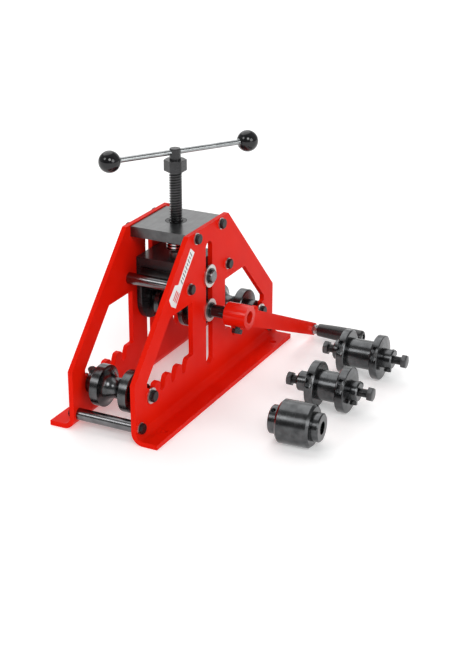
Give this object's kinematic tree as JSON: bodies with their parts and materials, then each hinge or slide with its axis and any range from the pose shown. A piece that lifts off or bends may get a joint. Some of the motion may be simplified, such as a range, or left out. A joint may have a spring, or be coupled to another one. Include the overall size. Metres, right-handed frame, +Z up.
{
  "type": "ring roller",
  "caption": "Hand-cranked ring roller: two bent red side plates, screw-pressed carriage with a grooved driven roller, notched racks for the lower rollers, and loose spare rollers.",
  "frame": {"origin": "on the bench plane, at the middle of the four bench holes, under the middle of the machine", "axes": "+X along the side plates, +Y across them away from the crank, +Z up"},
  "size_m": [0.5998, 0.5143, 0.4772],
  "materials": {
    "red_paint": "gloss",
    "dark_plate": "brushed, dark",
    "black_steel": "black oxide, satin",
    "roller_steel": "turned, dark oxide",
    "zinc": "zinc plated",
    "bright_steel": "bright",
    "gloss_black": "gloss",
    "grip_plastic": "semi-gloss",
    "screw_black": "black oxide"
  },
  "bodies": {
    "frame": {"side_plate_near": "red_paint", "side_plate_far": "red_paint", "top_plate": "dark_plate", "screw_bush": "black_steel", "plate_bolts": "black_steel", "plate_washers": "zinc", "axle_bolts": "black_steel", "axle_washers": "zinc", "low_spacer_left": "black_steel", "low_spacer_right": "black_steel", "mid_spacer_left": "black_steel", "mid_spacer_right": "black_steel", "lower_axle_left": "black_steel", "lower_axle_right": "black_steel"},
    "carriage": {"cheek_near": "black_steel", "cheek_far": "black_steel", "carriage_top": "black_steel", "carriage_bar_left": "dark_plate", "carriage_bar_right": "dark_plate", "guide_pin": "black_steel", "guide_washers": "zinc", "guide_clips": "black_steel"},
    "screw": {"lift_screw": "black_steel", "screw_nut": "black_steel", "neck_collars": "black_steel"},
    "t_bar": {"t_bar": "bright_steel", "knob_left": "gloss_black", "knob_right": "gloss_black"},
    "drive": {"drive_shaft": "black_steel", "centre_roller": "roller_steel", "shaft_washers": "zinc", "shaft_clips": "black_steel", "crank_hub": "red_paint", "crank_arm": "red_paint", "crank_set_screw": "black_steel", "grip_bolt": "bright_steel", "grip_nut": "bright_steel"},
    "grip": {"crank_grip": "grip_plastic"},
    "roller_left": {"lower_roller_left": "roller_steel", "lower_roller_screws_left": "black_steel"},
    "roller_right": {"lower_roller_right": "roller_steel", "lower_roller_screws_right": "black_steel"},
    "spare_plain": {"plain_roller": "roller_steel", "plain_roller_screws": "screw_black"},
    "spare_a": {"spare_a_spindle": "roller_steel", "spare_a_sleeve": "roller_steel", "spare_a_disc_near": "roller_steel", "spare_a_disc_screw_near": "screw_black", "spare_a_end_screws": "screw_black", "spare_a_bolts": "screw_black"},
    "spare_a_far_disc": {"spare_a_disc_far": "roller_steel", "spare_a_disc_screw_far": "screw_black"},
    "spare_b": {"spare_b_spindle": "roller_steel", "spare_b_sleeve": "roller_steel", "spare_b_disc_near": "roller_steel", "spare_b_disc_screw_near": "screw_black", "spare_b_end_screws": "screw_black", "spare_b_bolts": "screw_black"},
    "spare_b_far_disc": {"spare_b_disc_far": "roller_steel", "spare_b_disc_screw_far": "screw_black"}
  },
  "joints": [
    {"name": "carriage_lift", "type": "slide", "parent": "frame", "child": "carriage", "axis": [0, 0, 1], "range_m": [-0.09, 0.005]},
    {"name": "screw_turn", "type": "hinge", "parent": "carriage", "child": "screw", "pos_m": [0, 0, 0.35], "axis": [0, 0, 1], "range_deg": [-6482, 362]},
    {"name": "t_bar_slide", "type": "slide", "parent": "screw", "child": "t_bar", "axis": [0.829, -0.5592, 0], "range_m": [-0.116, 0.095]},
    {"name": "crank_turn", "type": "hinge", "parent": "carriage", "child": "drive", "pos_m": [0, 0, 0.158], "axis": [0, 1, 0], "continuous": true},
    {"name": "grip_spin", "type": "hinge", "parent": "drive", "child": "grip", "pos_m": [0.30235, -0.21475, 0.02085], "axis": [0, 1, 0], "continuous": true},
    {"name": "left_roller_spin", "type": "hinge", "parent": "frame", "child": "roller_left", "pos_m": [-0.225, 0, 0.074], "axis": [0, 1, 0], "continuous": true},
    {"name": "right_roller_spin", "type": "hinge", "parent": "frame", "child": "roller_right", "pos_m": [0.225, 0, 0.074], "axis": [0, 1, 0], "continuous": true},
    {"name": "plain_spare_lift", "type": "slide", "parent": "frame", "child": "spare_plain", "axis": [0, 0, 1], "range_m": [0, 0.15]},
    {"name": "spare_a_lift", "type": "slide", "parent": "frame", "child": "spare_a", "axis": [0, 0, 1], "range_m": [0, 0.15]},
    {"name": "spare_a_far_disc_slide", "type": "slide", "parent": "spare_a", "child": "spare_a_far_disc", "axis": [-0.0199, 0.9998, 0], "range_m": [0, 0.022]},
    {"name": "spare_b_lift", "type": "slide", "parent": "frame", "child": "spare_b", "axis": [0, 0, 1], "range_m": [0, 0.15]},
    {"name": "spare_b_far_disc_slide", "type": "slide", "parent": "spare_b", "child": "spare_b_far_disc", "axis": [-0.0314, 0.9995, 0], "range_m": [0, 0.0125]}
  ],
  "couplings": [
    {"joint": "screw_turn", "follows": "carriage_lift", "rad_per_m": 1256.6}
  ]
}
